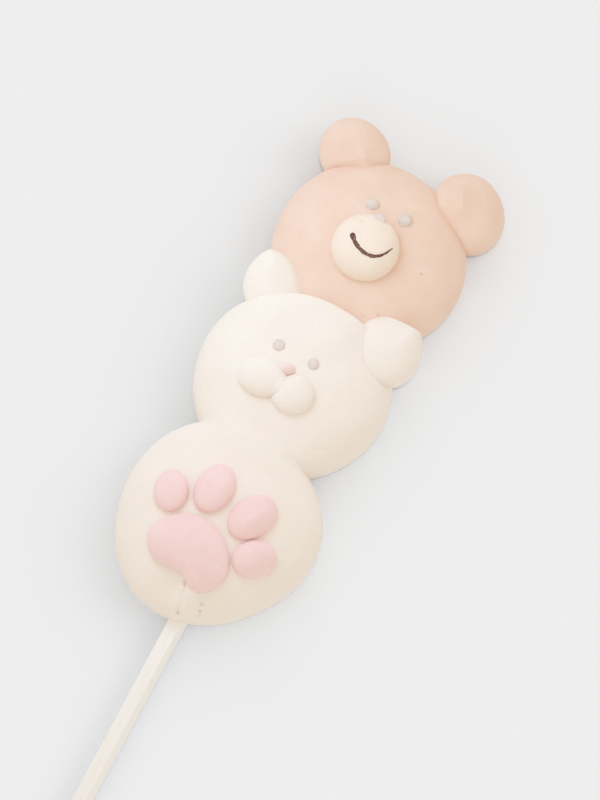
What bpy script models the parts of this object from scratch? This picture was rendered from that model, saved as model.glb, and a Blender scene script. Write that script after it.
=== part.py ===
"""A three-tier marshmallow pop lying on its flat backs, face up.

A bear's head, a cat's head and a cat's paw are piped marshmallow on one square stick.
The pieces are laid out with X = 0 on the stick's axis, Y = 0 at the paw's middle and +Y towards
the bear's ears. Z = 0 is the surface the pop lies on. The last step moves the origin under the
middle of the whole pop. Lengths are in metres.
"""

import math
from dataclasses import dataclass

import bmesh
import bpy
from mathutils import Matrix, Vector

MM = 0.001
GAP = 0.3 * MM  # clearance between pieces that touch
BELOW = 1.0 * MM  # how far a cutter reaches under the flat backs

# Piped heads: a flat back, a bulging side and a flattened dome
EDGE_HEIGHT = 6.0 * MM  # height of a head's widest line
UNDERCUT = 3.2 * MM  # how far the side curls in from there to the flat back
DOME_SIDE = 2.6  # superellipse power across the dome: more is flatter on top
DOME_TOP = 2.0  # superellipse power up the dome
EASED_EDGE = math.radians(35)  # edges sharper than this are shaded as creases
HEAD_SEGMENTS = 44
HEAD_RINGS = 9
UNDER_RINGS = 3

PAW_MIDDLE = (-2.7 * MM, 0.0)
PAW_RADIUS = 24.8 * MM
PAW_HEIGHT = 16.5 * MM
CAT_MIDDLE = (-2.6 * MM, 38.9 * MM)
CAT_RADIUS = 24.0 * MM
CAT_HEIGHT = 17.5 * MM
CAT_LIFT = 9.3 * MM  # rise of the cat's edge where it lies on the bear's chin and its own ears
LIFT_TOWARDS = math.radians(100)  # direction in which the edge is raised
LIFT_FULL = math.radians(30)  # angle from that direction up to which it is fully raised
LIFT_END = math.radians(68)  # and beyond which it isn't raised
CAT_PULL = 3.6 * MM  # how far the raised edge is flattened
PULL_FROM = math.radians(117)  # side of the head on which it is flattened
BEAR_MIDDLE = (-1.0 * MM, 76.6 * MM)
BEAR_RADIUS = 24.1 * MM
BEAR_HEIGHT = 15.5 * MM

# Unevenness of each outline: waves round it, their size, and the angle of their first crest
PAW_WAVES = ((2, 0.34 * MM, math.radians(71)), (3, 0.75 * MM, math.radians(16)))
CAT_WAVES = ((2, 0.18 * MM, math.radians(4)), (3, 0.42 * MM, math.radians(13)))
BEAR_WAVES = ((2, 0.20 * MM, math.radians(-29)), (3, 0.31 * MM, math.radians(4)))

# Stick: a square stick with eased edges, rolled a little about its own length
STICK_SIDE = 3.7 * MM
STICK_EASE = 0.45 * MM
STICK_ROLL = math.radians(-18)
STICK_AXIS_HEIGHT = 4.0 * MM
STICK_FREE_END = -118.0 * MM
STICK_HIDDEN_END = 86.0 * MM  # inside the bear's head

# Marshmallow drawn thinly over the stick at the paw's edge
COVER_HEIGHT = 0.9 * MM
COVER_HALF_WIDTH = 2.6 * MM
COVER_START = -15.0 * MM
COVER_FULL = -20.0 * MM

# Ears, in millimetres and degrees: middle in plan, half length and half width in plan, turn of
# the length from +X, height of the widest line, dome above it, share by which the dome falls
# towards the head and rises away from it, direction of the head, tail's length and where it points
DROP_SEGMENTS = 20
DROP_RINGS = 12
TAIL_SPREAD = math.radians(62)  # angle round the tail within which it swells out of the ball
TAIL_CURVE = 1.7
EARS = {
    "bear_ear_left": dict(
        middle=(-15.9, 98.8), half=(9.2, 8.5), turn=162, widest=6.5, dome=6.7,
        lean=0.55, head_at=-56, tail=2.2, points=(0.66, -0.45, 0.60),
    ),
    "bear_ear_right": dict(
        middle=(15.9, 97.5), half=(10.4, 8.8), turn=140, widest=6.8, dome=7.2,
        lean=0.4, head_at=-129, tail=2.2, points=(-0.55, -0.30, 0.78),
    ),
    "cat_ear_left": dict(
        middle=(-17.1, 57.7), half=(8.3, 7.5), turn=122, widest=11.0, dome=4.2,
        lean=0.25, head_at=-52, tail=1.5, points=(-0.50, 0.72, 0.48),
    ),
    "cat_ear_right": dict(
        middle=(14.5, 55.7), half=(8.7, 8.0), turn=149, widest=11.5, dome=5.0,
        lean=0.05, head_at=-137, tail=2.0, points=(0.40, 0.72, 0.57),
    ),
}

# Mounds piped on the heads: rings, and the powers and undercut of their rounded sides
MOUND_RINGS = 6
MOUND_SIDE = 2.8
MOUND_WIDEST = 0.28  # share of the thickness at which a mound is widest
MOUND_FOOT = 0.90  # size of its foot against its widest outline

MUZZLE_MIDDLE = (-1.2 * MM, 75.2 * MM)
MUZZLE_RADIUS = 8.3 * MM
MUZZLE_THICKNESS = 6.2 * MM
MUZZLE_SEGMENTS = 32

CHEEK_THICKNESS = 3.6 * MM
CHEEK_SEGMENTS = 22
LEFT_CHEEK = dict(middle=(-8.6, 34.5), half=(6.2, 5.0), turn=0)
RIGHT_CHEEK = dict(middle=(0.2, 34.15), half=(5.2, 4.8), turn=20)

TOE_THICKNESS = 3.4 * MM
TOE_SEGMENTS = 18
TOES = (
    dict(middle=(-14.8, 0.35), half=(5.2, 4.2), turn=118),
    dict(middle=(-5.7, 5.4), half=(6.3, 4.6), turn=90),
    dict(middle=(5.5, 3.2), half=(6.5, 4.8), turn=66),
    dict(middle=(10.6, -5.6), half=(5.5, 4.5), turn=38),
)

PAD_THICKNESS = 3.8 * MM
PAD_MIDDLE = (-4.0 * MM, -10.4 * MM)
PAD_STEPS = 4  # straight pieces between two points of its outline
PAD_OUTLINE = (
    (-14.5, -10.7), (-12.4, -5.8), (-7.8, -2.9), (-2.4, -2.6), (3.2, -5.6),
    (6.4, -11.4), (4.9, -16.1), (2.2, -18.3), (-0.3, -18.2), (-2.2, -16.7), (-6.2, -16.3), (-10.6, -15.6),
)

# Eyes and noses: flattened balls fused to what they lie on
DOT_SEGMENTS = 14
DOT_RINGS = 8
BEAR_EYES = (
    dict(middle=(-4.9, 86.4), half=(1.75, 1.5), rise=1.1),
    dict(middle=(4.0, 86.3), half=(1.8, 1.7), rise=1.2),
)
CAT_EYES = (
    dict(middle=(-8.3, 43.6), half=(1.5, 1.5), rise=0.5),
    dict(middle=(1.2, 43.1), half=(1.4, 1.4), rise=0.5),
)
CAT_NOSE = dict(middle=(-4.1, 38.5), half=(2.5, 1.7), rise=2.9)
BEAR_NOSE = dict(middle=(-0.9, 82.5), half=(1.6, 1.3), rise=1.0)
BEAR_NOSE_HEIGHT = 19.4 * MM
DOT_DEPTH = 1.1 * MM  # how deep a dot's lower half is sunk

PEACH = (0.90, 0.66, 0.52)
CREAM = (0.94, 0.80, 0.67)
WHITE = (0.93, 0.86, 0.78)
PINK = (0.93, 0.66, 0.64)
BIRCH = (0.86, 0.82, 0.75)


@dataclass
class Head:
    """A piped head, with its middle in plan and its uneven round outline."""

    middle: tuple
    radius: float
    height: float
    waves: tuple
    lift: float = 0.0  # how far the edge is raised where it lies on the head behind it
    pull: float = 0.0  # how far it is flattened there
    covers_stick: bool = False

    def outline(self, angle):
        uneven = sum(size * math.cos(count * (angle - crest)) for count, size, crest in self.waves)
        return self.radius + uneven - self.pull * lift_share(angle) * math.cos(angle - PULL_FROM)

    def edge_height(self, angle):
        return EDGE_HEIGHT + self.lift * lift_share(angle)

    def top(self, x, y):
        """Height of the dome over a point of the floor, and zero beside the head."""
        along_x = x - self.middle[0]
        along_y = y - self.middle[1]
        angle = math.atan2(along_y, along_x)
        share = math.hypot(along_x, along_y) / self.outline(angle)
        if share >= 1:
            return 0.0
        edge = self.edge_height(angle)
        dome = (self.height - edge) * (1 - share**DOME_SIDE) ** (1 / DOME_TOP)
        return edge + dome + (cover(x, y) if self.covers_stick else 0.0)


def smooth_step(start, end, value):
    share = min(max((value - start) / (end - start), 0), 1)
    return share**2 * (3 - 2 * share)


def lift_share(angle):
    """How far a raised edge is raised at this angle, from 0 to 1."""
    away = abs(math.remainder(angle - LIFT_TOWARDS, math.tau))
    return 1 - smooth_step(LIFT_FULL, LIFT_END, away)


def cover(x, y):
    """Height that the marshmallow over the stick adds near the paw's edge."""
    return COVER_HEIGHT * smooth_step(COVER_START, COVER_FULL, y) * math.exp(-((x / COVER_HALF_WIDTH) ** 4))


def clear_scene():
    for obj in list(bpy.data.objects):
        bpy.data.objects.remove(obj)


def material(name, colour, roughness):
    made = bpy.data.materials.new(name)
    made.use_nodes = True
    shader = made.node_tree.nodes["Principled BSDF"]
    shader.inputs["Base Color"].default_value = (*colour, 1)
    shader.inputs["Roughness"].default_value = roughness
    shader.inputs["Metallic"].default_value = 0
    return made


def new_object(name, mesh_builder, surface=None):
    """An object made from a bmesh, with faces that all point outwards."""
    mesh = bpy.data.meshes.new(name)
    bmesh.ops.recalc_face_normals(mesh_builder, faces=mesh_builder.faces)
    mesh_builder.to_mesh(mesh)
    mesh_builder.free()
    if surface:
        mesh.materials.append(surface)
    obj = bpy.data.objects.new(name, mesh)
    bpy.context.scene.collection.objects.link(obj)
    return obj


def rings_to_solid(rings, first_pole, last_pole):
    """A closed bmesh from rings of equal length, with a fan to a pole at each end."""
    built = bmesh.new()
    loops = [[built.verts.new(point) for point in ring] for ring in rings]
    count = len(rings[0])
    for upper, lower in zip(loops, loops[1:]):
        for i in range(count):
            j = (i + 1) % count
            built.faces.new((upper[i], lower[i], lower[j], upper[j]))
    for loop, pole in ((loops[0], first_pole), (loops[-1], last_pole)):
        end = built.verts.new(pole)
        for i in range(count):
            built.faces.new((end, loop[i], loop[(i + 1) % count]))
    return built


def boolean(obj, other, operation):
    """Cuts the other object from this one, or joins it on, and removes the other."""
    modifier = obj.modifiers.new(operation, "BOOLEAN")
    modifier.operation = operation
    modifier.solver = "EXACT"
    modifier.object = other
    bpy.context.view_layer.objects.active = obj
    bpy.ops.object.modifier_apply(modifier=modifier.name)
    bpy.data.objects.remove(other)


def head_solid(head, grown=0.0):
    """A head's closed surface. A cutter is grown all round and reaches under the flat back."""
    angles = [math.tau * i / HEAD_SEGMENTS for i in range(HEAD_SEGMENTS)]
    back = -BELOW if grown else 0.0
    middle_x, middle_y = head.middle

    def ring(reach_of, height_of):
        points = []
        for angle in angles:
            reach = reach_of(head.outline(angle))
            x = middle_x + reach * math.cos(angle)
            y = middle_y + reach * math.sin(angle)
            points.append((x, y, height_of(head, angle, x, y)))
        return points

    rings = []
    for step in range(1, HEAD_RINGS + 1):
        slope = math.pi / 2 * step / HEAD_RINGS
        share = math.sin(slope) ** (2 / DOME_SIDE)
        lift = math.cos(slope) ** (2 / DOME_TOP)

        def dome_height(head, angle, x, y, lift=lift):
            edge = head.edge_height(angle)
            raised = cover(x, y) * min(1, 3 * lift) if head.covers_stick else 0
            return edge + (head.height + grown - edge) * lift + raised

        rings.append(ring(lambda reach, share=share: (reach + grown) * share, dome_height))
    for step in range(1, UNDER_RINGS + 1):
        slope = math.pi / 2 * step / UNDER_RINGS
        inset = UNDERCUT * (1 - math.cos(slope))
        fall = math.sin(slope)
        rings.append(
            ring(
                lambda reach, inset=inset: reach + grown - inset,
                lambda head, angle, x, y, fall=fall: back + (head.edge_height(angle) - back) * (1 - fall),
            )
        )
    return rings_to_solid(
        rings, (middle_x, middle_y, head.height + grown), (middle_x, middle_y, back)
    )


def ellipse(middle, half, turn, segments, grown=0.0):
    """Points of an ellipse in plan, given in millimetres and degrees."""
    points = []
    for i in range(segments):
        angle = math.tau * i / segments
        point = Vector(((half[0] * MM + grown) * math.cos(angle), (half[1] * MM + grown) * math.sin(angle)))
        point.rotate(Matrix.Rotation(math.radians(turn), 2))
        points.append((middle[0] * MM + point.x, middle[1] * MM + point.y))
    return points


def smooth_outline(points, steps):
    """A closed curve without kinks through the points, given in millimetres."""
    count = len(points)
    curve = []
    for i in range(count):
        p0, p1, p2, p3 = (Vector(points[(i + k) % count]) * MM for k in (-1, 0, 1, 2))
        for step in range(steps):
            t = step / steps
            curve.append(
                0.5 * (2 * p1 + (p2 - p0) * t + (2 * p0 - 5 * p1 + 4 * p2 - p3) * t**2
                       + (3 * p1 - p0 - 3 * p2 + p3) * t**3)
            )
    return curve


def mound_solid(head, middle, rim, thickness, grown=0.0):
    """A mound that lies on a head's dome, a gap above it, with rounded and undercut sides."""
    base = -grown if grown else GAP
    full = thickness + grown + GAP - base

    def ring(share, rise):
        points = []
        for rim_x, rim_y in rim:
            x = middle[0] + (rim_x - middle[0]) * share
            y = middle[1] + (rim_y - middle[1]) * share
            points.append((x, y, head.top(x, y) + base + full * rise))
        return points

    rings = []
    for step in range(1, MOUND_RINGS + 1):
        slope = math.pi / 2 * step / MOUND_RINGS
        share = math.sin(slope) ** (2 / MOUND_SIDE)
        rings.append(ring(share, MOUND_WIDEST + (1 - MOUND_WIDEST) * math.cos(slope)))
    rings.append(ring(MOUND_FOOT, 0))
    rings.append(ring(MOUND_FOOT / 2, 0))
    low = head.top(*middle) + base
    return rings_to_solid(rings, (*middle, low + full), (*middle, low))


def drop_solid(middle, half, turn, widest, dome, lean, head_at, tail, points):
    """A piped drop: a ball drawn out into a tail, stretched down to a flat foot on the floor."""
    axis = Vector(points).normalized()
    to_axis = Vector((0, 0, 1)).rotation_difference(axis)
    turned = Matrix.Rotation(math.radians(turn), 3, "Z")
    to_head = Vector((math.cos(math.radians(head_at)), math.sin(math.radians(head_at)), 0))
    centre = Vector((*middle, widest)) * MM

    def surface(slope, round_axis):
        across = math.sin(slope)
        direction = Vector((across * math.cos(round_axis), across * math.sin(round_axis), math.cos(slope)))
        direction.rotate(to_axis)
        local = turned.transposed() @ direction
        upper = dome * (1 - lean * direction.dot(to_head))
        depth = upper if local.z > 0 else widest + dome / 2
        ball = turned @ Vector((local.x * half[0], local.y * half[1], local.z * depth))
        drawn = tail * max(0, 1 - slope / TAIL_SPREAD) ** TAIL_CURVE
        return centre + (ball + axis * drawn) * MM

    rings = [
        [surface(math.pi * ring / DROP_RINGS, math.tau * i / DROP_SEGMENTS) for i in range(DROP_SEGMENTS)]
        for ring in range(1, DROP_RINGS)
    ]
    built = rings_to_solid(rings, surface(0, 0), surface(math.pi, 0))
    everything = built.verts[:] + built.edges[:] + built.faces[:]
    bmesh.ops.bisect_plane(built, geom=everything, plane_co=(0, 0, 0), plane_no=(0, 0, -1), clear_outer=True)
    bmesh.ops.holes_fill(built, edges=[edge for edge in built.edges if edge.is_boundary])
    return built


def dot_solid(middle, half, rise, height, grown=0.0):
    """A flattened ball whose widest line is at the given height."""
    rings = []
    for step in range(1, DOT_RINGS):
        slope = math.pi * step / DOT_RINGS
        depth = rise * MM + grown if math.cos(slope) > 0 else DOT_DEPTH
        level = height + depth * math.cos(slope)
        reach = [value * MM + grown for value in half]
        rings.append([
            (
                middle[0] * MM + reach[0] * math.sin(slope) * math.cos(math.tau * i / DOT_SEGMENTS),
                middle[1] * MM + reach[1] * math.sin(slope) * math.sin(math.tau * i / DOT_SEGMENTS),
                level,
            )
            for i in range(DOT_SEGMENTS)
        ])
    plan = (middle[0] * MM, middle[1] * MM)
    return rings_to_solid(rings, (*plan, height + rise * MM + grown), (*plan, height - DOT_DEPTH))


def stick_solid(grown=0.0):
    """The square stick, rolled about its length. A cutter is grown and runs past the free end."""
    side = STICK_SIDE + 2 * grown
    start = STICK_FREE_END - grown
    end = STICK_HIDDEN_END + grown
    built = bmesh.new()
    bmesh.ops.create_cube(built, size=1)
    bmesh.ops.scale(built, vec=(side, end - start, side), verts=built.verts)
    long_edges = [
        edge for edge in built.edges if abs(edge.verts[0].co.y - edge.verts[1].co.y) > side
    ]
    bmesh.ops.bevel(built, geom=long_edges, offset=STICK_EASE, segments=3, profile=0.5, affect="EDGES")
    bmesh.ops.rotate(built, matrix=Matrix.Rotation(STICK_ROLL, 3, "Y"), verts=built.verts)
    bmesh.ops.translate(built, vec=(0, (start + end) / 2, STICK_AXIS_HEIGHT), verts=built.verts)
    return built


def make_bear(bear, stick_bore):
    peach = material("peach marshmallow", PEACH, 0.8)
    cream = material("cream marshmallow", CREAM, 0.8)
    head = new_object("bear_head", head_solid(bear), peach)
    boolean(head, stick_bore(), "DIFFERENCE")
    for eye in BEAR_EYES:
        height = bear.top(eye["middle"][0] * MM, eye["middle"][1] * MM)
        boolean(head, new_object("eye", dot_solid(**eye, height=height)), "UNION")

    rim = ellipse(
        [value / MM for value in MUZZLE_MIDDLE], [MUZZLE_RADIUS / MM] * 2, 0, MUZZLE_SEGMENTS
    )
    muzzle = new_object("bear_muzzle", mound_solid(bear, MUZZLE_MIDDLE, rim, MUZZLE_THICKNESS), cream)
    nose = dot_solid(**BEAR_NOSE, height=BEAR_NOSE_HEIGHT)
    boolean(muzzle, new_object("nose", nose), "UNION")

    for name in ("bear_ear_left", "bear_ear_right"):
        ear = new_object(name, drop_solid(**EARS[name]), peach)
        boolean(ear, new_object("grown head", head_solid(bear, GAP)), "DIFFERENCE")


def make_cat(cat, bear, paw, stick_bore):
    white = material("white marshmallow", WHITE, 0.8)
    head = new_object("cat_head", head_solid(cat), white)
    boolean(head, new_object("grown bear", head_solid(bear, GAP)), "DIFFERENCE")
    boolean(head, new_object("grown paw", head_solid(paw, GAP)), "DIFFERENCE")
    boolean(head, stick_bore(), "DIFFERENCE")
    for dot in (*CAT_EYES, CAT_NOSE):
        height = cat.top(dot["middle"][0] * MM, dot["middle"][1] * MM)
        boolean(head, new_object("dot", dot_solid(**dot, height=height)), "UNION")
    nose_height = cat.top(CAT_NOSE["middle"][0] * MM, CAT_NOSE["middle"][1] * MM)

    def cheek_solid(cheek, grown=0.0):
        middle = [value * MM for value in cheek["middle"]]
        rim = ellipse(**cheek, segments=CHEEK_SEGMENTS, grown=grown)
        return mound_solid(cat, middle, rim, CHEEK_THICKNESS, grown)

    right = new_object("cat_cheek_right", cheek_solid(RIGHT_CHEEK), white)
    left = new_object("cat_cheek_left", cheek_solid(LEFT_CHEEK), white)
    boolean(left, new_object("grown cheek", cheek_solid(RIGHT_CHEEK, GAP)), "DIFFERENCE")
    for cheek in (left, right):
        grown_nose = dot_solid(**CAT_NOSE, height=nose_height, grown=GAP)
        boolean(cheek, new_object("grown nose", grown_nose), "DIFFERENCE")

    for name in ("cat_ear_left", "cat_ear_right"):
        ear = new_object(name, drop_solid(**EARS[name]), white)
        boolean(ear, new_object("grown bear", head_solid(bear, GAP)), "DIFFERENCE")
        boolean(ear, new_object("grown cat", head_solid(cat, GAP)), "DIFFERENCE")


def make_paw(paw, stick_bore):
    white = material("paw marshmallow", WHITE, 0.8)
    pink = material("pink marshmallow", PINK, 0.8)
    disc = new_object("paw_disc", head_solid(paw), white)
    boolean(disc, stick_bore(), "DIFFERENCE")
    rim = smooth_outline(PAD_OUTLINE, PAD_STEPS)
    new_object("paw_pad", mound_solid(paw, PAD_MIDDLE, rim, PAD_THICKNESS), pink)
    for number, toe in enumerate(TOES, start=1):
        middle = [value * MM for value in toe["middle"]]
        rim = ellipse(**toe, segments=TOE_SEGMENTS)
        new_object(f"paw_toe_{number}", mound_solid(paw, middle, rim, TOE_THICKNESS), pink)


def crease_sharp_edges():
    for obj in bpy.data.objects:
        obj.data.shade_smooth()
        obj.data.set_sharp_from_angle(angle=EASED_EDGE)


def put_origin_under_middle():
    """Moves every piece so that the origin is under the middle of the whole pop's box."""
    corners = [obj.matrix_world @ vertex.co for obj in bpy.data.objects for vertex in obj.data.vertices]
    middle_x, middle_y = (
        (min(corner[axis] for corner in corners) + max(corner[axis] for corner in corners)) / 2
        for axis in (0, 1)
    )
    for obj in bpy.data.objects:
        obj.location = (-middle_x, -middle_y, 0)


def main():
    clear_scene()
    paw = Head(PAW_MIDDLE, PAW_RADIUS, PAW_HEIGHT, PAW_WAVES, covers_stick=True)
    bear = Head(BEAR_MIDDLE, BEAR_RADIUS, BEAR_HEIGHT, BEAR_WAVES)
    cat = Head(CAT_MIDDLE, CAT_RADIUS, CAT_HEIGHT, CAT_WAVES, lift=CAT_LIFT, pull=CAT_PULL)

    def stick_bore():
        return new_object("stick bore", stick_solid(GAP))

    make_bear(bear, stick_bore)
    make_cat(cat, bear, paw, stick_bore)
    make_paw(paw, stick_bore)
    new_object("stick", stick_solid(), material("pale wood", BIRCH, 0.6))
    crease_sharp_edges()
    put_origin_under_middle()


main()
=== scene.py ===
"""Looks of a three-tier marshmallow pop: piped marshmallow, icing dots, a painted smile, a wooden stick.

Shapes are worked out in millimetres in the layout of the solids: X = 0 is the stick's axis, Y = 0 the
paw's middle, and +Y runs towards the bear's ears. in_frame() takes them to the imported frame, in metres.
"""

import math
from dataclasses import dataclass

import bpy
import numpy as np
from mathutils import Matrix, Vector, noise


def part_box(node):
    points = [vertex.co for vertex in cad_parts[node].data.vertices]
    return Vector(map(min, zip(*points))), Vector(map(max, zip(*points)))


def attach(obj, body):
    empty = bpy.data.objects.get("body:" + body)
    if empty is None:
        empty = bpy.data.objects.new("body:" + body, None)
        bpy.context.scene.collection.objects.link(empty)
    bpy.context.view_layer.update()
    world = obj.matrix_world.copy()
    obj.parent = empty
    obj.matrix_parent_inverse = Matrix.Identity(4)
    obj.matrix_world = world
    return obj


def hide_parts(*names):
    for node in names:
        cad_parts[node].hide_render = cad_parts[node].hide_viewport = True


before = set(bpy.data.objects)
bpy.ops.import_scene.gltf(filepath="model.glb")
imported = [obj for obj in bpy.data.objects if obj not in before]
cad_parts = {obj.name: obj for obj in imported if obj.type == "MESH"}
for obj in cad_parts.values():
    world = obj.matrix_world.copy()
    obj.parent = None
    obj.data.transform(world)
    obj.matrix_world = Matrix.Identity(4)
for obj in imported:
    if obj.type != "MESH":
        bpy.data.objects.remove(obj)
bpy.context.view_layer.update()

MM = 0.001

# Stick
STICK_SIDE = 3.7
STICK_EASE = 0.45
STICK_ROLL = math.radians(-18)
STICK_AXIS_HEIGHT = 4.0
STICK_FREE_END = -118.0
STICK_HIDDEN_END = 86.0
STICK_STEP = 1.0
CORNER_POINTS = 6
WAVER = 0.016  # share by which the stick's edges waver, and the lengths of that along and across it
WAVER_ALONG = 7.0
WAVER_ACROSS = 0.5
SHARP_FROM = math.radians(40)  # edges sharper than this are shaded as creases

# Piped heads: a flat back, a bulging side and a flattened dome
EDGE_HEIGHT = 6.0
UNDERCUT = 3.2
DOME_SIDE = 2.6
HEAD_SEGMENTS = 300
HEAD_RINGS = 96
SIDE_RINGS = 20
RELIEF_TO_EDGE = 3  # how near to a dome's edge its marks keep their full height
LIFT_TOWARDS = math.radians(100)
LIFT_FULL = math.radians(30)
LIFT_END = math.radians(68)
PULL_FROM = math.radians(117)

# Marshmallow drawn over the stick at the paw's edge
COVER_HEIGHT = 0.9
COVER_HALF_WIDTH = 2.6
COVER_START = -15.0
COVER_FULL = -20.0

# The cat's head runs into the paw: both follow one broad back across this line of Y
JOIN_Y = 19.6
JOIN_REACH = 13.0
JOIN_HEIGHT = 15.8
JOIN_ROUNDING = 1.5
OUTLINE_STEPS = 181
TUCK = 0.6  # how far the hidden part of each surface lies under the other
TUCK_WITHIN = 1.5
HIDDEN_FROM = 2.0
HIDDEN_DEEP = 5.0

# Mounds piped on the heads
MOUND_RINGS = 40
FOOT_RINGS = 8
MOUND_SEGMENTS = 120
MOUND_SIDE = 2.8
MOUND_WIDEST = 0.24  # share of the thickness at which a mound is widest
MOUND_FOOT = 0.93
SEAT = 0.5  # how deep a mound's foot is pressed into the dome under it
SOFT_SIDE = (-0.95, 0.31)  # the side on which a mound flattens into the dome
SOFT_FROM = 0.1
SOFT_POWER = 1.5
BLEND = 2.4  # how widely the cat's two cheeks run into each other
BLEND_TUCK = 0.25

# Drops piped for ears. Each has its middle in plan, half length and half width, turn of the length,
# height of the widest line, dome above it, share by which the dome falls towards the head at the angle
# head_at, length of the tail, where the tail points, and a pinched ridge.
DROP_RINGS = 72
DROP_SEGMENTS = 120
TAIL_SPREAD = math.radians(62)
TAIL_CURVE = 1.7
RAISED_FROM_SIDE = 1.6  # how fast ridges and creases gain height above a drop's widest line
RIDGE_RUNS_OUT = 0.35  # share of a ridge's length from which it runs out
EDGE_SOFT = 0.8
EDGE_PRESS = 0.85
SINK = 1.15  # how deep a drop sinks in the crease beside a head
SINK_HEIGHT = 1.3
SINK_REACH = 2.0

# Eyes and noses: flattened balls
DOT_SEGMENTS = 48
DOT_RINGS = 24
DOT_DEPTH = 1.1

# Unevenness of the surfaces: size of its swells, size of its grain, and how far it moves them
HEAD_UNEVEN = (9.0, 1.6, 0.09)
EAR_UNEVEN = (6.0, 1.4, 0.10)
PAD_UNEVEN = (4.0, 1.2, 0.07)
GRAIN_SHARE = 0.22
STEADY_BELOW = 2.0  # height over which it fades in above the floor

# Camera: the photograph looks down steeply, turned against the stick
PHOTO_HEIGHT_PIXELS = 800
PIXELS_PER_MM = 4.13
VIEW_ELEVATION = math.radians(74)
VIEW_TURN = math.radians(27.24)
VIEW_DISTANCE = 800.0
VIEW_TARGET = (0.79, 36.88, 5.0)
SENSOR = 36.0


def layout_offset():
    """Where the layout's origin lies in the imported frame, in metres, read from the stick's box."""
    low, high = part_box("stick")
    return Vector(((low.x + high.x) / 2, high.y - STICK_HIDDEN_END * MM, 0))


OFFSET = layout_offset()


def in_frame(points):
    return np.asarray(points, float) * MM + np.array(OFFSET)


def smooth_step(start, end, value):
    share = np.clip((value - start) / (end - start), 0, 1)
    return share * share * (3 - 2 * share)


def smooth_max(a, b, width):
    """The larger of two heights, rounded over a valley of this width."""
    near = np.maximum(width - np.abs(a - b), 0)
    return np.maximum(a, b) + near * near / (4 * width)


def bell(x, y, middle, radius):
    return np.exp(-((x - middle[0]) ** 2 + (y - middle[1]) ** 2) / radius**2)


def to_segment(x, y, start, end):
    """Distance in plan from a straight piece, and the share of its length at the nearest point."""
    along_x, along_y = end[0] - start[0], end[1] - start[1]
    share = ((x - start[0]) * along_x + (y - start[1]) * along_y) / (along_x**2 + along_y**2)
    share = np.clip(share, 0, 1)
    return np.hypot(x - start[0] - share * along_x, y - start[1] - share * along_y), share


def groove(x, y, points, depth, half_width):
    """A narrow furrow along a line of points."""
    distance = np.min([to_segment(x, y, a, b)[0] for a, b in zip(points, points[1:])], axis=0)
    return -depth * np.exp(-((distance / half_width) ** 2))


def ridge(x, y, start, end, size, half_width, crest=0.3):
    """A pinched ridge that runs out softly, highest at its start. Its crest is rounded by so many mm."""
    distance, share = to_segment(x, y, start, end)
    profile = np.clip(1 - np.hypot(distance, crest) / half_width, 0, 1) ** 2
    return size * profile * (1 - smooth_step(RIDGE_RUNS_OUT, 1, share))


@dataclass
class Head:
    """A piped head, with its middle in plan and its uneven round outline."""

    middle: tuple
    radius: float
    height: float
    waves: tuple  # round the outline: how many, their size, and the angle of the first crest
    lift: float = 0.0  # how far the edge is raised where it lies on the head behind it
    pull: float = 0.0  # how far it is flattened there
    covers_stick: bool = False

    def lift_share(self, angle):
        turned = angle - LIFT_TOWARDS
        away = np.abs(np.arctan2(np.sin(turned), np.cos(turned)))
        return 1 - smooth_step(LIFT_FULL, LIFT_END, away)

    def outline(self, angle):
        uneven = sum(size * np.cos(count * (angle - crest)) for count, size, crest in self.waves)
        return self.radius + uneven - self.pull * self.lift_share(angle) * np.cos(angle - PULL_FROM)

    def edge_height(self, angle):
        return EDGE_HEIGHT + self.lift * self.lift_share(angle)

    def top(self, x, y):
        """Height of the dome over points of the floor that lie under it."""
        along_x = x - self.middle[0]
        along_y = y - self.middle[1]
        angle = np.arctan2(along_y, along_x)
        share = np.hypot(along_x, along_y) / self.outline(angle)
        edge = self.edge_height(angle)
        dome = (self.height - edge) * np.sqrt(np.clip(1 - share**DOME_SIDE, 0, None))
        return edge + dome + self.cover(x, y)

    def cover(self, x, y):
        if not self.covers_stick:
            return 0.0
        along = smooth_step(COVER_START, COVER_FULL, y)
        return COVER_HEIGHT * along * np.exp(-((x / COVER_HALF_WIDTH) ** 4))


PAW = Head(
    (-2.7, 0.0), 24.8, 16.5,
    ((2, 0.34, math.radians(71)), (3, 0.75, math.radians(16))),
    covers_stick=True,
)
CAT = Head(
    (-2.6, 38.9), 24.0, 17.5,
    ((2, 0.18, math.radians(4)), (3, 0.42, math.radians(13))),
    lift=9.3, pull=3.6,
)
BEAR = Head(
    (-1.0, 76.6), 24.1, 15.5,
    ((2, 0.20, math.radians(-29)), (3, 0.31, math.radians(4))),
)

# The strap of marshmallow over the stick: its left and right edge, how each edge slopes, and where it
# begins and stands at its full rise
CREASE = ((-1.5, -17.2), (-0.95, -19.4), (-0.45, -21.9), (-0.05, -24.6))
STRAP_RIGHT = ((1.7, -17.4), (3.4, -20.3), (5.0, -23.4))
LEFT_SLOPE = (-0.3, 0.9)
RIGHT_SLOPE = (-0.6, 0.2)
STRAP_START = -16.4
STRAP_FULL = -19.0
STRAP_RISE = 0.85

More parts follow.
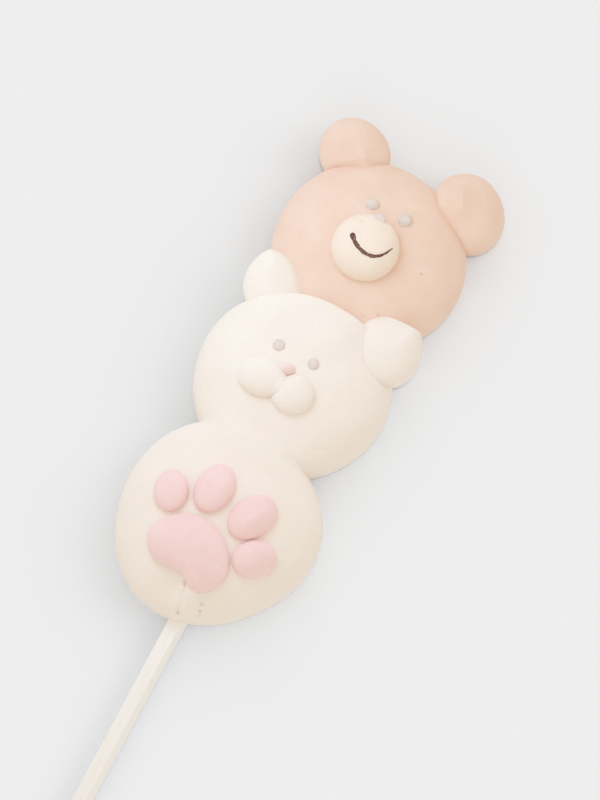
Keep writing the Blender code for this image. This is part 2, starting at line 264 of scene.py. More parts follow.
# Small marks. A fold has its line, depth and half width. A dent has its middle, radius and depth, which
# is negative where the surface swells. A pit has its middle and radius.
PAW_FOLDS = ((((6.0, -20.6), (9.5, -20.0), (12.5, -18.6)), 0.12, 0.5), (CREASE, 0.38, 0.5))
PAW_DENTS = (((-4.2, -20.2), 2.8, 0.5), ((9.5, -18.0), 3.0, 0.2))
PAW_PITS = (
    ((3.8, -20.1), 0.36), ((4.3, -19.8), 0.2), ((4.75, -22.2), 0.33), ((4.25, -21.4), 0.22),
    ((-1.6, -17.6), 0.45), ((-1.2, -18.3), 0.25), ((-0.5, -23.6), 0.28), ((-0.2, -24.0), 0.22),
)
CAT_FOLDS = (
    (((10.6, 24.9), (12.6, 26.2), (14.2, 27.9)), 0.12, 0.45),
    (((9.4, 23.0), (12.0, 24.2)), 0.09, 0.4),
    (((3.4, 23.2), (4.8, 23.5)), 0.12, 0.4),
)
CAT_DENTS = (((6.2, 38.6), 1.6, 0.25), ((8.6, 40.4), 1.6, -0.12))
BEAR_FOLDS = ((((14.9, 69.3), (16.7, 70.6)), 0.10, 0.25), (((17.6, 72.4), (19.2, 72.9)), 0.08, 0.3))
BEAR_PITS = (((13.7, 76.2), 0.26), ((8.8, 62.4), 0.22), ((6.0, 60.4), 0.20))
MUZZLE_DENTS = (((-4.3, 79.5), 0.36, 0.5), ((1.9, 80.5), 0.9, 0.12))
PIT_DEPTH = 0.7


def marks(x, y, folds=(), dents=(), pits=()):
    """How far all these marks together change the height."""
    folded = sum(groove(x, y, *fold) for fold in folds)
    dented = sum(depth * bell(x, y, middle, radius) for middle, radius, depth in dents)
    pitted = sum(PIT_DEPTH * bell(x, y, middle, radius) for middle, radius in pits)
    return folded - dented - pitted


def paw_relief(x, y):
    """The strap of marshmallow over the stick, the crease beside it and small marks."""
    left, right = (
        np.interp(-y, [-point[1] for point in line], [point[0] for point in line])
        for line in (CREASE, STRAP_RIGHT)
    )
    strap = smooth_step(left + LEFT_SLOPE[0], left + LEFT_SLOPE[1], x)
    strap = strap * (1 - smooth_step(right + RIGHT_SLOPE[0], right + RIGHT_SLOPE[1], x))
    strap = STRAP_RISE * strap * smooth_step(STRAP_START, STRAP_FULL, y)
    return strap + marks(x, y, PAW_FOLDS, PAW_DENTS, PAW_PITS)


def cat_relief(x, y):
    return marks(x, y, CAT_FOLDS, CAT_DENTS)


def bear_relief(x, y):
    return marks(x, y, BEAR_FOLDS, pits=BEAR_PITS)


def muzzle_relief(x, y):
    return marks(x, y, dents=MUZZLE_DENTS)


def new_piece(name, points, faces, material):
    """A smooth mesh piece from points in the layout, riding on the pop's one body."""
    mesh = bpy.data.meshes.new(name)
    mesh.from_pydata(in_frame(points).tolist(), [], faces)
    mesh.materials.append(material)
    mesh.shade_smooth()
    obj = bpy.data.objects.new(name, mesh)
    bpy.context.scene.collection.objects.link(obj)
    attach(obj, "root")
    return obj


def closed_rings(rings, first_pole, last_pole):
    """Points and faces of a closed surface from rings of equal length, from the top down."""
    rings = np.asarray(rings, float)
    ring_count, count = rings.shape[:2]
    points = np.concatenate([rings.reshape(-1, 3), [first_pole], [last_pole]])
    faces = []
    for ring in range(ring_count - 1):
        upper, lower = ring * count, (ring + 1) * count
        for i in range(count):
            j = (i + 1) % count
            faces.append((upper + i, lower + i, lower + j, upper + j))
    top, bottom, last = ring_count * count, ring_count * count + 1, (ring_count - 1) * count
    for i in range(count):
        j = (i + 1) % count
        faces.append((top, i, j))
        faces.append((bottom, last + j, last + i))
    return points, faces


def uneven(obj, size, grain, amount):
    """Moves a piece's points along their normals by smooth noise, less near the floor."""
    mesh = obj.data
    normals = [vertex.normal.copy() for vertex in mesh.vertices]
    for vertex, normal in zip(mesh.vertices, normals):
        place = vertex.co / MM
        bump = noise.noise(place / size) * amount + noise.noise(place / grain) * amount * GRAIN_SHARE
        height = min(max(place.z / STEADY_BELOW, 0), 1)
        vertex.co += normal * bump * height * MM
    mesh.update()


def head_surface(head, relief, joined=False):
    """A head's closed surface. The joined ones follow one broad back where they meet."""
    angles = np.linspace(0, math.tau, HEAD_SEGMENTS, endpoint=False)
    reach = head.outline(angles)
    edge = head.edge_height(angles)
    rings = []
    for slope in np.linspace(0, math.pi / 2, HEAD_RINGS + 1)[1:]:
        share = math.sin(slope) ** (2 / DOME_SIDE)
        x = head.middle[0] + reach * share * np.cos(angles)
        y = head.middle[1] + reach * share * np.sin(angles)
        inside = min(1, RELIEF_TO_EDGE * math.cos(slope))
        own = edge + (head.height - edge) * math.cos(slope) + head.cover(x, y) * inside
        z = own + relief(x, y) * inside
        if joined:
            z = run_into(head, x, y, z, own, inside)
        rings.append(np.stack([x, y, z], -1))
    for slope in np.linspace(0, math.pi / 2, SIDE_RINGS + 1)[1:]:
        inset = reach - UNDERCUT * (1 - math.cos(slope))
        x = head.middle[0] + inset * np.cos(angles)
        y = head.middle[1] + inset * np.sin(angles)
        rings.append(np.stack([x, y, edge * (1 - math.sin(slope))], -1))
    middle_x, middle_y = head.middle
    return closed_rings(rings, (middle_x, middle_y, head.height), (middle_x, middle_y, 0))


def joined_top(x, y):
    """Height of the back that runs from the cat's head into the paw."""
    turns = np.linspace(-math.pi / 2, math.pi / 2, OUTLINE_STEPS)
    left, right = [], []
    for head in (CAT, PAW):
        for ends, angles in ((right, turns), (left, math.pi - turns)):
            reach = head.outline(angles)
            along_x = head.middle[0] + reach * np.cos(angles)
            along_y = head.middle[1] + reach * np.sin(angles)
            ends.append(np.interp(y, along_y, along_x))
    right = smooth_max(*right, JOIN_ROUNDING)
    left = -smooth_max(*(-end for end in left), JOIN_ROUNDING)
    share = np.abs(2 * x - left - right) / (right - left)
    return EDGE_HEIGHT + (JOIN_HEIGHT - EDGE_HEIGHT) * np.sqrt(np.clip(1 - share**DOME_SIDE, 0, None))


def run_into(head, x, y, z, own, inside):
    """Leads a head's surface into the shared back, and tucks it under the other head beyond the join."""
    beyond = y - JOIN_Y if head is PAW else JOIN_Y - y
    near = 1 - smooth_step(0, JOIN_REACH, np.abs(y - JOIN_Y))
    shared = z + (joined_top(x, y) - own) * near * inside - TUCK * smooth_step(0, TUCK_WITHIN, beyond)
    return shared + (z - shared) * smooth_step(HIDDEN_FROM, HIDDEN_DEEP, beyond)


def ellipse_rim(middle, half, turn):
    angles = np.linspace(0, math.tau, MOUND_SEGMENTS, endpoint=False)
    turned = math.radians(turn)
    along, across = half[0] * np.cos(angles), half[1] * np.sin(angles)
    return np.stack(
        [
            middle[0] + along * math.cos(turned) - across * math.sin(turned),
            middle[1] + along * math.sin(turned) + across * math.cos(turned),
        ],
        -1,
    )


def smooth_rim(points, steps):
    """A closed curve without kinks through the points."""
    points = np.array(points, float)
    before, after, later = (np.roll(points, -k, axis=0) for k in (-1, 1, 2))
    curve = []
    for i in range(len(points)):
        p0, p1, p2, p3 = before[i], points[i], after[i], later[i]
        for t in np.arange(steps) / steps:
            curve.append(
                0.5 * (2 * p1 + (p2 - p0) * t + (2 * p0 - 5 * p1 + 4 * p2 - p3) * t**2
                       + (3 * p1 - p0 - 3 * p2 + p3) * t**3)
            )
    return np.array(curve)


def mound_surface(
    head, middle, rim, thickness, relief=None, side=MOUND_SIDE, soft=0.0, foot=MOUND_FOOT, beside=None
):
    """A mound on a head's dome, with rounded and undercut sides and its foot pressed in.

    On its soft side it runs out into the dome. The mound beside it is blended in where the two meet.
    """
    reach = np.max(np.hypot(*(rim - middle).T))
    sunk = -SEAT / thickness

    def ring(share, rise, gentle):
        x = middle[0] + (rim[:, 0] - middle[0]) * share
        y = middle[1] + (rim[:, 1] - middle[1]) * share
        towards = ((x - middle[0]) * SOFT_SIDE[0] + (y - middle[1]) * SOFT_SIDE[1]) / reach
        softness = soft * smooth_step(SOFT_FROM, 1, towards)
        above = thickness * (rise + (gentle - rise) * softness)
        if relief and rise > MOUND_WIDEST:
            above = above + relief(x, y) * (rise - MOUND_WIDEST) / (1 - MOUND_WIDEST)
        if beside and rise > MOUND_WIDEST:
            other = beside(x, y)
            above = smooth_max(above, other, BLEND) - BLEND_TUCK * smooth_step(0, BLEND / 2, other - above)
        return np.stack([x, y, head.top(x, y) + above], -1)

    rings = []
    for slope in np.linspace(0, math.pi / 2, MOUND_RINGS + 1)[1:]:
        share = math.sin(slope) ** (2 / side)
        rise = MOUND_WIDEST + (1 - MOUND_WIDEST) * math.cos(slope)
        rings.append(ring(share, rise, (1 - share**2) ** SOFT_POWER))
    for slope in np.linspace(0, math.pi / 2, FOOT_RINGS + 1)[1:]:
        share = foot + (1 - foot) * math.cos(slope)
        down = math.sin(slope)
        rings.append(ring(share, MOUND_WIDEST + (sunk - MOUND_WIDEST) * down, sunk * down))
    rings.append(ring(foot / 2, sunk, sunk))
    low = float(head.top(*middle))
    peak = low + thickness + (float(relief(*middle)) if relief else 0)
    return closed_rings(rings, (*middle, peak), (*middle, low - SEAT))


def press_straight(places, start, end):
    """Pulls points back that stand out beyond a straight edge, to the left of its direction."""
    along = np.array(end) - start
    outward = np.array((-along[1], along[0])) / np.hypot(*along)
    beyond = (places[:, :2] - start) @ outward
    beyond = (beyond + np.hypot(beyond, EDGE_SOFT) - EDGE_SOFT) / 2
    places[:, :2] -= EDGE_PRESS * np.maximum(beyond, 0)[:, None] * outward


def sunk_beside(head, places):
    """How far a drop sinks where it comes close to a head's dome, so that a crease runs between them."""
    x, y = places[:, 0], places[:, 1]
    from_x, from_y = x - head.middle[0], y - head.middle[1]
    outside = np.hypot(from_x, from_y) - head.outline(np.arctan2(from_y, from_x))
    above = np.maximum(places[:, 2] - head.top(x, y), 0)
    return SINK * np.exp(-((above / SINK_HEIGHT) ** 2)) * (1 - smooth_step(0, SINK_REACH, outside))


def drop_surface(
    middle, half, turn, widest, dome, lean, head_at, tail, points, pinch, creased_by=None, edge=None
):
    """A piped drop: a ball drawn out into a tail, stretched down to a flat foot on the floor.

    It is pinched to a ridge. A head may press a crease into it, and an edge may be pressed straight.
    """
    axis = Vector(points).normalized()
    to_axis = np.array(Vector((0, 0, 1)).rotation_difference(axis).to_matrix())
    turned = np.array(Matrix.Rotation(math.radians(turn), 3, "Z"))
    to_head = np.array((math.cos(math.radians(head_at)), math.sin(math.radians(head_at)), 0))
    centre = np.array((*middle, widest))
    round_axis = np.linspace(0, math.tau, DROP_SEGMENTS, endpoint=False)

    def surface(slope, around):
        across = math.sin(slope)
        direction = np.stack(
            [across * np.cos(around), across * np.sin(around), np.full_like(around, math.cos(slope))], -1
        )
        direction = direction @ to_axis.T
        local = direction @ turned
        upper = dome * (1 - lean * direction @ to_head)
        depth = np.where(local[:, 2] > 0, upper, widest + dome / 2)
        ball = np.stack([local[:, 0] * half[0], local[:, 1] * half[1], local[:, 2] * depth], -1) @ turned.T
        drawn = tail * max(0, 1 - slope / TAIL_SPREAD) ** TAIL_CURVE
        placed = centre + ball + np.array(axis) * drawn
        raised = ridge(placed[:, 0], placed[:, 1], **pinch)
        if creased_by:
            raised = raised - sunk_beside(creased_by, placed)
        placed[:, 2] += raised * np.clip(local[:, 2] * RAISED_FROM_SIDE, 0, 1)
        placed[:, 2] = np.maximum(placed[:, 2], 0)
        if edge:
            press_straight(placed, *edge)
        return placed

    rings = [surface(slope, round_axis) for slope in np.linspace(0, math.pi, DROP_RINGS + 1)[1:-1]]
    pole = np.zeros(1)
    return closed_rings(rings, surface(0, pole)[0], surface(math.pi, pole)[0])


def dot_surface(middle, half, rise, height, turn=0.0):
    """A flattened ball whose widest line is at the given height."""
    around = np.linspace(0, math.tau, DOT_SEGMENTS, endpoint=False)
    turned = np.array(Matrix.Rotation(math.radians(turn), 2))
    rings = []
    for slope in np.linspace(0, math.pi, DOT_RINGS + 1)[1:-1]:
        up = rise if math.cos(slope) > 0 else DOT_DEPTH
        oval = np.stack([half[0] * np.cos(around), half[1] * np.sin(around)], -1) * math.sin(slope)
        x, y = (middle + oval @ turned.T).T
        rings.append(np.stack([x, y, np.full_like(x, height + up * math.cos(slope))], -1))
    return closed_rings(rings, (*middle, height + rise), (*middle, height - DOT_DEPTH))


# Materials

MARSHMALLOW_FINISH = {
    "Roughness": 0.72,
    "Subsurface Weight": 0.12,
    "Subsurface Radius": (1.0, 0.72, 0.55),
    "Subsurface Scale": 1.0 * MM,
    "Specular IOR Level": 0.28,
    "Sheen Weight": 0.08,
    "Sheen Roughness": 0.6,
}
ICING_FINISH = {"Roughness": 0.45, "Specular IOR Level": 0.4}
COCOA_FINISH = {"Roughness": 0.6}
WOOD_FINISH = {"Roughness": 0.62, "Specular IOR Level": 0.3}
FLOOR_FINISH = {"Roughness": 0.9, "Specular IOR Level": 0.0, "Base Color": (0.672, 0.724, 0.791, 1)}
PLAIN = (1, 1, 1)
STARCH = (0.965, 0.965, 0.965)
WOOD_DEEP = (0.955, 0.935, 0.895)
WOOD_LIGHT = (0.97, 0.96, 0.94)
FLECK = (0.965, 0.945, 0.915)
COCOA_DARK = (0.05, 0.02, 0.014)
COCOA_REDDISH = (0.34, 0.15, 0.105)


class Nodes:
    """A material's node tree, with short calls to add and join nodes."""

    def __init__(self, name, finish):
        self.material = bpy.data.materials.new(name)
        self.material.use_nodes = True
        self.tree = self.material.node_tree
        self.shader = self.tree.nodes["Principled BSDF"]
        for socket, value in finish.items():
            self.shader.inputs[socket].default_value = value
        self.place = self.add("ShaderNodeTexCoord").outputs["Object"]

    def add(self, kind, **values):
        node = self.tree.nodes.new(kind)
        for key, value in values.items():
            setattr(node, key, value)
        return node

    def join(self, source, target):
        self.tree.links.new(source, target)

    def noise(self, scale, detail, stretch=None):
        node = self.add("ShaderNodeTexNoise")
        node.inputs["Scale"].default_value = scale
        node.inputs["Detail"].default_value = detail
        place = self.place
        if stretch:
            mapping = self.add("ShaderNodeMapping")
            mapping.inputs["Scale"].default_value = stretch
            self.join(place, mapping.inputs["Vector"])
            place = mapping.outputs["Vector"]
        self.join(place, node.inputs["Vector"])
        return node.outputs["Fac"]

    def ramp(self, factor, low, high, first, last):
        node = self.add("ShaderNodeValToRGB")
        start, end = node.color_ramp.elements
        start.position, end.position = low, high
        start.color, end.color = (*first, 1), (*last, 1)
        self.join(factor, node.inputs["Fac"])
        return node.outputs["Color"]

    def multiply(self, first, second):
        node = self.add("ShaderNodeMix", data_type="RGBA", blend_type="MULTIPLY")
        node.inputs["Factor"].default_value = 1.0
        self.join(first, node.inputs["A"])
        self.join(second, node.inputs["B"])
        return node.outputs["Result"]

    def bump(self, height, strength, distance, before=None):
        node = self.add("ShaderNodeBump")
        node.inputs["Strength"].default_value = strength
        node.inputs["Distance"].default_value = distance * MM
        self.join(height, node.inputs["Height"])
        if before:
            self.join(before, node.inputs["Normal"])
        return node.outputs["Normal"]


def marshmallow(name, light, deep):
    """Soft matte marshmallow: blotched a little, dusted with starch, light soaking into it."""
    made = Nodes(name, MARSHMALLOW_FINISH)
    blotches = made.ramp(made.noise(scale=130, detail=4), low=0.35, high=0.68, first=deep, last=light)
    powder = made.ramp(made.noise(scale=2600, detail=2), low=0.3, high=0.62, first=STARCH, last=PLAIN)
    made.join(made.multiply(blotches, powder), made.shader.inputs["Base Color"])
    skin = made.bump(made.noise(scale=700, detail=4), strength=0.16, distance=0.12)
    skin = made.bump(made.noise(scale=3600, detail=2), strength=0.14, distance=0.03, before=skin)
    made.join(skin, made.shader.inputs["Normal"])
    return made.material


def icing(name, light, deep):
    """Dried icing dots, a little smoother than the marshmallow."""
    made = Nodes(name, ICING_FINISH)
    tone = made.ramp(made.noise(scale=900, detail=3), low=0.3, high=0.7, first=deep, last=light)
    made.join(tone, made.shader.inputs["Base Color"])
    skin = made.bump(made.noise(scale=2400, detail=2), strength=0.15, distance=0.04)
    made.join(skin, made.shader.inputs["Normal"])
    return made.material


def cocoa_paint():
    """Thin brushed cocoa: streaked from dark to reddish brown."""
    made = Nodes("cocoa paint", COCOA_FINISH)
    brushed = made.noise(scale=1900, detail=4)
    streaks = made.ramp(brushed, low=0.38, high=0.66, first=COCOA_DARK, last=COCOA_REDDISH)
    made.join(streaks, made.shader.inputs["Base Color"])
    strokes = made.bump(made.noise(scale=2500, detail=3), strength=0.3, distance=0.05)
    made.join(strokes, made.shader.inputs["Normal"])
    return made.material


def pale_wood():
    """Bleached birch: faint long grain, short flecks and a dry surface."""
    made = Nodes("pale wood", WOOD_FINISH)
    grain = made.noise(scale=1500, detail=4, stretch=(1, 0.03, 1))
    tone = made.ramp(grain, low=0.3, high=0.7, first=WOOD_DEEP, last=WOOD_LIGHT)
    short_grain = made.noise(scale=3000, detail=2, stretch=(1, 0.08, 1))
    flecks = made.ramp(short_grain, low=0.34, high=0.42, first=FLECK, last=PLAIN)
    made.join(made.multiply(tone, flecks), made.shader.inputs["Base Color"])
    made.join(made.bump(grain, strength=0.25, distance=0.05), made.shader.inputs["Normal"])
    return made.material


PEACH = marshmallow("peach marshmallow", (0.92, 0.72, 0.595), (0.89, 0.675, 0.55))
CREAM = marshmallow("cream marshmallow", (0.96, 0.84, 0.72), (0.935, 0.80, 0.68))
WHITE = marshmallow("white marshmallow", (0.955, 0.885, 0.81), (0.94, 0.865, 0.78))
PINK = marshmallow("pink marshmallow", (0.975, 0.76, 0.745), (0.955, 0.715, 0.695))
GREY = icing("grey icing", (0.83, 0.735, 0.67), (0.735, 0.635, 0.57))
PALE_PINK = marshmallow("pale pink marshmallow", (0.96, 0.79, 0.75), (0.945, 0.76, 0.72))
COCOA = cocoa_paint()
WOOD = pale_wood()


# Bear

MUZZLE_MIDDLE = (-1.2, 75.2)
MUZZLE_RADIUS = 8.3
MUZZLE_THICKNESS = 6.2
SMILE = (
    (-5.15, 75.65), (-3.5, 73.85), (-1.65, 72.8), (0.25, 72.35), (2.1, 72.6),
    (3.5, 73.6), (4.43, 74.92), (4.96, 76.26), (5.2, 77.05),
)
SMILE_WIDTHS = (0.68, 0.52, 0.47, 0.45, 0.42, 0.33, 0.24, 0.15, 0.07)
SMILE_STEPS = 90
SMILE_ACROSS = 9
SMILE_SMOOTHING = 9
SMILE_BLUNT = 0.35  # how far along its points the stroke's start is rounded
SMILE_RISE = 0.14
SMILE_SEAT = 0.15
BRUSH_WAVER = ((0.10, 5.3, 0), (0.06, 11.9, 1))  # size, rate and start of each waver of its width
BEAR_EYES = {
    "bear_eye_left": ((-4.9, 86.4), (1.75, 1.5), 1.1),
    "bear_eye_right": ((4.0, 86.3), (1.8, 1.7), 1.2),
}
BEAR_NOSE = dict(middle=(-0.8, 82.6), half=(1.65, 1.1), rise=1.0, height=19.4, turn=-15)
BEAR_EARS = {
    "bear_ear_left": dict(
        middle=(-15.9, 98.8), half=(9.2, 8.5), turn=162, widest=6.5, dome=6.7,
        lean=0.55, head_at=-56, tail=2.2, points=(0.66, -0.45, 0.60),
        pinch=dict(start=(-10.6, 94.3), end=(-15.4, 101.0), size=1.9, half_width=5.6, crest=0.7),
        creased_by=BEAR,
    ),
    "bear_ear_right": dict(
        middle=(15.9, 97.5), half=(10.4, 8.8), turn=140, widest=6.8, dome=7.2,
        lean=0.4, head_at=-129, tail=2.2, points=(-0.55, -0.30, 0.78),
        pinch=dict(start=(14.8, 95.4), end=(11.2, 102.6), size=2.7, half_width=5.8, crest=0.4),
        creased_by=BEAR,
    ),
}


def muzzle_top(x, y):
    """Height of the muzzle's surface over points of the floor."""
    share = np.hypot(x - MUZZLE_MIDDLE[0], y - MUZZLE_MIDDLE[1]) / MUZZLE_RADIUS
    rise = MOUND_WIDEST + (1 - MOUND_WIDEST) * np.sqrt(np.clip(1 - share**MOUND_SIDE, 0, None))
    return BEAR.top(x, y) + MUZZLE_THICKNESS * rise


def smoothed(values):
    """Values along a line, each averaged with its neighbours, and the first and last one kept."""
    padded = np.pad(values, SMILE_SMOOTHING // 2, mode="reflect", reflect_type="odd")
    return np.convolve(padded, np.ones(SMILE_SMOOTHING) / SMILE_SMOOTHING, "valid")


def smile_surface():
    """A brushed stroke that lies on the muzzle, thick where it starts and pointed at its end."""
    steps = np.linspace(0, len(SMILE) - 1, SMILE_STEPS)
    knots = np.arange(len(SMILE))
    middles = np.stack([smoothed(np.interp(steps, knots, values)) for values in zip(*SMILE)], -1)
    start = np.clip(steps / SMILE_BLUNT, 0, 1)
    waver = sum(size * np.sin(steps * rate + begin) for size, rate, begin in BRUSH_WAVER)
    half = np.interp(steps, knots, SMILE_WIDTHS) * np.sqrt(start * (2 - start)) * (1 + waver)
    along = np.gradient(middles, axis=0)
    along /= np.linalg.norm(along, axis=1, keepdims=True)
    across = np.stack([-along[:, 1], along[:, 0]], -1)
    upper = [(side, SMILE_RISE * math.sqrt(1 - side**2)) for side in np.linspace(-1, 1, SMILE_ACROSS)]
    lower = [(side, -SMILE_SEAT) for side in np.linspace(1, -1, SMILE_ACROSS)[1:-1]]
    loops = []
    for middle, sideways, half_width in zip(middles, across, half):
        loop = []
        for side, lift in upper + lower:
            x, y = middle + sideways * side * half_width
            loop.append((x, y, float(muzzle_top(x, y)) + lift))
        loops.append(loop)
    first, last = ((*middle, float(muzzle_top(*middle))) for middle in (middles[0], middles[-1]))
    return closed_rings(loops, first, last)


def make_bear():
    head = new_piece("bear_head_skin", *head_surface(BEAR, bear_relief), PEACH)
    uneven(head, *HEAD_UNEVEN)
    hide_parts("bear_head")
    for name, (middle, half, rise) in BEAR_EYES.items():
        eye = new_piece(name, *dot_surface(middle, half, rise, float(BEAR.top(*middle))), GREY)

    rim = ellipse_rim(MUZZLE_MIDDLE, (MUZZLE_RADIUS, MUZZLE_RADIUS), 0)
    shape = mound_surface(BEAR, MUZZLE_MIDDLE, rim, MUZZLE_THICKNESS, muzzle_relief)
    muzzle = new_piece("bear_muzzle_skin", *shape, CREAM)
    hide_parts("bear_muzzle")
    nose = new_piece("bear_nose", *dot_surface(**BEAR_NOSE), GREY)
    smile = new_piece("bear_smile", *smile_surface(), COCOA)

    for name, values in BEAR_EARS.items():
        ear = new_piece(name + "_skin", *drop_surface(**values), PEACH)
        uneven(ear, *EAR_UNEVEN)
        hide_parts(name)


# Cat

CHEEK_THICKNESS = 3.5
CHEEK_SIDE = 2.3
CHEEK_SOFT = 0.85
CHEEK_FOOT = 0.98
CHEEK_FALL = 10  # how steeply a cheek is taken to fall beyond its rim, where the other one is blended in
CHEEKS = {
    "cat_cheek_left": ((-8.5, 34.7), (6.1, 4.8), 0),
    "cat_cheek_right": ((0.2, 34.15), (5.2, 4.8), 20),
}
CAT_EYES = {"cat_eye_left": ((-8.3, 43.6), 1.5), "cat_eye_right": ((1.2, 43.1), 1.4)}
CAT_EYE_RISE = 0.5
CAT_NOSE_MIDDLE = (-4.4, 38.65)
CAT_NOSE = dict(half=(2.7, 1.65), rise=2.7, turn=28)
CAT_EARS = {
    "cat_ear_left": dict(
        middle=(-17.1, 57.7), half=(8.3, 7.5), turn=122, widest=11.0, dome=4.2,
        lean=0.25, head_at=-52, tail=1.5, points=(-0.50, 0.72, 0.48),
        pinch=dict(start=(-21.0, 64.6), end=(-17.0, 56.5), size=0.8, half_width=5.0, crest=0.6),
        creased_by=BEAR,
    ),
    "cat_ear_right": dict(
        middle=(14.5, 55.7), half=(8.7, 8.0), turn=149, widest=11.5, dome=5.0,
        lean=0.05, head_at=-137, tail=2.0, points=(0.50, 0.76, 0.42),
        pinch=dict(start=(18.7, 61.2), end=(16.2, 53.0), size=1.3, half_width=5.6, crest=0.9),
        edge=((10.4, 63.2), (19.4, 62.5)),
    ),
}


def cheek_rise(x, y, middle, half, turn):
    """How far a cheek stands above the cat's dome at points of the plan."""
    turned = math.radians(turn)
    along = (x - middle[0]) * math.cos(turned) + (y - middle[1]) * math.sin(turned)
    across = (y - middle[1]) * math.cos(turned) - (x - middle[0]) * math.sin(turned)
    share = np.hypot(along / half[0], across / half[1])
    outside = CHEEK_FALL * np.maximum(share - 1, 0)
    share = np.minimum(share, 1)
    crisp = MOUND_WIDEST + (1 - MOUND_WIDEST) * np.sqrt(1 - share**CHEEK_SIDE)
    gentle = (1 - share**2) ** SOFT_POWER
    towards = ((x - middle[0]) * SOFT_SIDE[0] + (y - middle[1]) * SOFT_SIDE[1]) / max(half)
    softness = CHEEK_SOFT * smooth_step(SOFT_FROM, 1, towards)
    return CHEEK_THICKNESS * (crisp + (gentle - crisp) * softness - outside)


def make_cat():
    head = new_piece("cat_head_skin", *head_surface(CAT, cat_relief, joined=True), WHITE)
    uneven(head, *HEAD_UNEVEN)
    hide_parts("cat_head")
    for name, (middle, size) in CAT_EYES.items():
        shape = dot_surface(middle, (size, size), CAT_EYE_RISE, float(CAT.top(*middle)))
        eye = new_piece(name, *shape, GREY)
    shape = dot_surface(CAT_NOSE_MIDDLE, height=float(CAT.top(*CAT_NOSE_MIDDLE)), **CAT_NOSE)
    nose = new_piece("cat_nose", *shape, PALE_PINK)

    for (name, cheek), other in zip(CHEEKS.items(), reversed(CHEEKS.values())):
        shape = mound_surface(
            CAT, cheek[0], ellipse_rim(*cheek), CHEEK_THICKNESS,
            side=CHEEK_SIDE, soft=CHEEK_SOFT, foot=CHEEK_FOOT,
            beside=lambda x, y, other=other: cheek_rise(x, y, *other),
        )
        cheek = new_piece(name + "_skin", *shape, WHITE)
        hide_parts(name)

    for name, values in CAT_EARS.items():
        ear = new_piece(name + "_skin", *drop_surface(**values), WHITE)
        uneven(ear, *EAR_UNEVEN)
        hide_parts(name)


# Paw

TOE_THICKNESS = 3.4
TOE_SIDE = 2.2
PAD_THICKNESS = 3.8
PAD_SIDE = 2.4
PAD_SOFT = 0.3
PAD_FOOT = 0.99
PAD_MIDDLE = (-4.0, -10.4)
PAD_OUTLINE = (
    (-15.0, -11.2), (-12.5, -5.9), (-7.8, -2.9), (-2.4, -2.6), (3.2, -5.6),
    (6.4, -11.4), (4.9, -16.1), (2.2, -18.3), (-0.3, -18.2), (-2.2, -16.7), (-6.2, -16.3), (-11.0, -15.8),
)

# Each toe's middle, half length and half width, turn of the length, and pinched ridge
TOES = (
    ((-14.8, 0.35), (5.2, 4.2), 118, None),
    ((-5.7, 5.4), (6.3, 4.6), 90, dict(start=(-3.6, 8.4), end=(-3.9, -1.0), size=0.4, half_width=3.0)),
    ((5.5, 3.2), (6.5, 4.8), 66, dict(start=(5.0, 0.0), end=(10.2, 9.0), size=0.7, half_width=3.6)),
    ((10.5, -5.45), (5.35, 4.35), 38, None),
)


def make_paw():
    disc = new_piece("paw_disc_skin", *head_surface(PAW, paw_relief, joined=True), WHITE)
    uneven(disc, *HEAD_UNEVEN)
    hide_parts("paw_disc")

    rim = smooth_rim(PAD_OUTLINE, MOUND_SEGMENTS // len(PAD_OUTLINE))
    pieces = {"paw_pad": (PAD_MIDDLE, rim, PAD_THICKNESS, None, PAD_SIDE)}
    for number, (middle, half, turn, pinch) in enumerate(TOES, start=1):
        relief = (lambda x, y, pinch=pinch: ridge(x, y, **pinch)) if pinch else None
        rim = ellipse_rim(middle, half, turn)
        pieces[f"paw_toe_{number}"] = (middle, rim, TOE_THICKNESS, relief, TOE_SIDE)
    for name, (middle, rim, thickness, relief, side) in pieces.items():
        shape = mound_surface(PAW, middle, rim, thickness, relief, side, PAD_SOFT, PAD_FOOT)
        pad = new_piece(name + "_skin", *shape, PINK)
        uneven(pad, *PAD_UNEVEN)
        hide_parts(name)


# Stick


def make_stick():
    """The square stick with eased, faintly wavering edges and a plain cut end."""
    inner = STICK_SIDE / 2 - STICK_EASE
    section = []
    for corner in range(4):
        start = math.radians(45 + 90 * corner)
        centre = np.array((math.copysign(inner, math.cos(start)), math.copysign(inner, math.sin(start))))
        for turn in np.radians(np.linspace(-45, 45, CORNER_POINTS)):
            section.append(centre + STICK_EASE * np.array((math.cos(start + turn), math.sin(start + turn))))
    section = np.array(section)
    roll = np.array(Matrix.Rotation(-STICK_ROLL, 2))
    loops = []
    for y in np.arange(STICK_HIDDEN_END, STICK_FREE_END - STICK_STEP / 2, -STICK_STEP):
        places = [Vector((px / WAVER_ACROSS, y / WAVER_ALONG, pz / WAVER_ACROSS)) for px, pz in section]
        size = 1 + WAVER * np.array([noise.noise(place) for place in places])
        rolled = (section * size[:, None]) @ roll.T
        loops.append([(px, y, STICK_AXIS_HEIGHT + pz) for px, pz in rolled])
    ends = (0, STICK_HIDDEN_END, STICK_AXIS_HEIGHT), (0, STICK_FREE_END, STICK_AXIS_HEIGHT)
    stick = new_piece("stick_wood", *closed_rings(loops, *ends), WOOD)
    stick.data.set_sharp_from_angle(angle=SHARP_FROM)
    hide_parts("stick")


# Floor, lights and camera

FLOOR_SIDE = 6.0
AMBIENT = 0.858
AMBIENT_COLOUR = (1.0, 0.928, 0.849)
KEY_WATTS = 0.0422
KEY_COLOUR = (0.694, 1.0, 1.384)
KEY_PLACE = (-60.0, 74.0, 125.0)
KEY_SIDE = 90.0

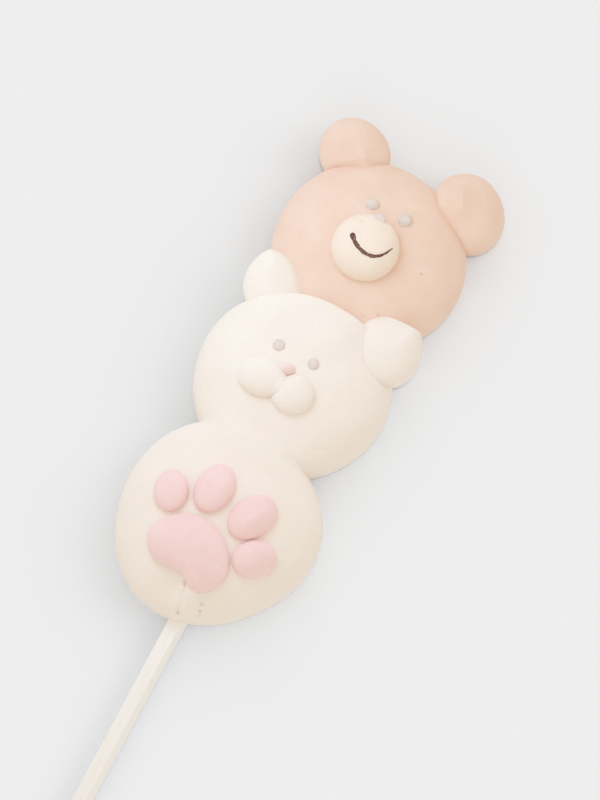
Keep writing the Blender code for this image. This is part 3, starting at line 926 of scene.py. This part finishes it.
# Each lamp's name, strength, direction and spread in degrees
FLOOR_LIGHTS = (
    ("floor light from the right", 0.45, (0.728, 0.375, 0.574), 40),
    ("floor light from the upper right", 0.20, (0.250, 0.780, 0.574), 40),
    ("floor light from above the ears", 0.27, (-0.375, 0.728, 0.574), 40),
    ("floor light from below the paw", 0.165, (0.375, -0.728, 0.574), 40),
    ("floor light from overhead", 0.70, (0.092, -0.178, 0.98), 4),
)


def make_floor():
    half = FLOOR_SIDE / 2
    corners = [(-half, -half, 0), (half, -half, 0), (half, half, 0), (-half, half, 0)]
    mesh = bpy.data.meshes.new("floor")
    mesh.from_pydata(corners, [], [(0, 1, 2, 3)])
    mesh.materials.append(Nodes("pale floor", FLOOR_FINISH).material)
    floor = bpy.data.objects.new("floor", mesh)
    bpy.context.scene.collection.objects.link(floor)
    return floor


def light_only(light, lit):
    """The light falls only on the given objects. All the others still cast shadows on them."""
    bpy.context.scene.collection.objects.link(light)
    group = bpy.data.collections.new(light.name + " falls on")
    for obj in lit:
        group.objects.link(obj)
    light.light_linking.receiver_collection = group


def make_key(lit):
    """A soft box close above the pop, to the photograph's upper left."""
    lamp = bpy.data.lights.new("key", "AREA")
    lamp.shape = "DISK"
    lamp.size = KEY_SIDE * MM
    lamp.energy = KEY_WATTS
    lamp.color = KEY_COLOUR
    key = bpy.data.objects.new("key", lamp)
    key.location = in_frame(KEY_PLACE)
    aim = Vector(in_frame(VIEW_TARGET))
    key.rotation_euler = (key.location - aim).to_track_quat("Z", "Y").to_euler()
    light_only(key, lit)


def light_floor(lit):
    """Lamps that fall on the floor alone, and leave soft shade round the pop, most on its left."""
    for name, strength, direction, spread in FLOOR_LIGHTS:
        lamp = bpy.data.lights.new(name, "SUN")
        lamp.energy = strength
        lamp.color = AMBIENT_COLOUR
        lamp.angle = math.radians(spread)
        sun = bpy.data.objects.new(name, lamp)
        sun.rotation_euler = Vector(direction).to_track_quat("Z", "Y").to_euler()
        light_only(sun, lit)


def make_world():
    world = bpy.data.worlds.new("studio")
    world.use_nodes = True
    background = world.node_tree.nodes["Background"]
    background.inputs["Color"].default_value = (*AMBIENT_COLOUR, 1)
    background.inputs["Strength"].default_value = AMBIENT
    bpy.context.scene.world = world


def make_camera():
    up_in_plan = Vector((-math.sin(VIEW_TURN), math.cos(VIEW_TURN), 0))
    right = Vector((math.cos(VIEW_TURN), math.sin(VIEW_TURN), 0))
    back = Vector((0, 0, math.sin(VIEW_ELEVATION))) - up_in_plan * math.cos(VIEW_ELEVATION)
    up = back.cross(right)
    lens = bpy.data.cameras.new("camera")
    lens.sensor_width = SENSOR
    lens.lens = SENSOR * PIXELS_PER_MM * VIEW_DISTANCE / PHOTO_HEIGHT_PIXELS
    camera = bpy.data.objects.new("camera", lens)
    turned = Matrix((right, up, back)).transposed().to_4x4()
    place = Vector(in_frame(VIEW_TARGET)) + back * VIEW_DISTANCE * MM
    camera.matrix_world = Matrix.Translation(place) @ turned
    bpy.context.scene.collection.objects.link(camera)
    bpy.context.scene.camera = camera


make_bear()
make_cat()
make_paw()
make_stick()
pop = [obj for obj in bpy.data.objects if obj.type == "MESH"]
floor = make_floor()
make_world()
make_key(pop)
light_floor([floor])
make_camera()
bpy.context.scene.view_settings.view_transform = "Standard"
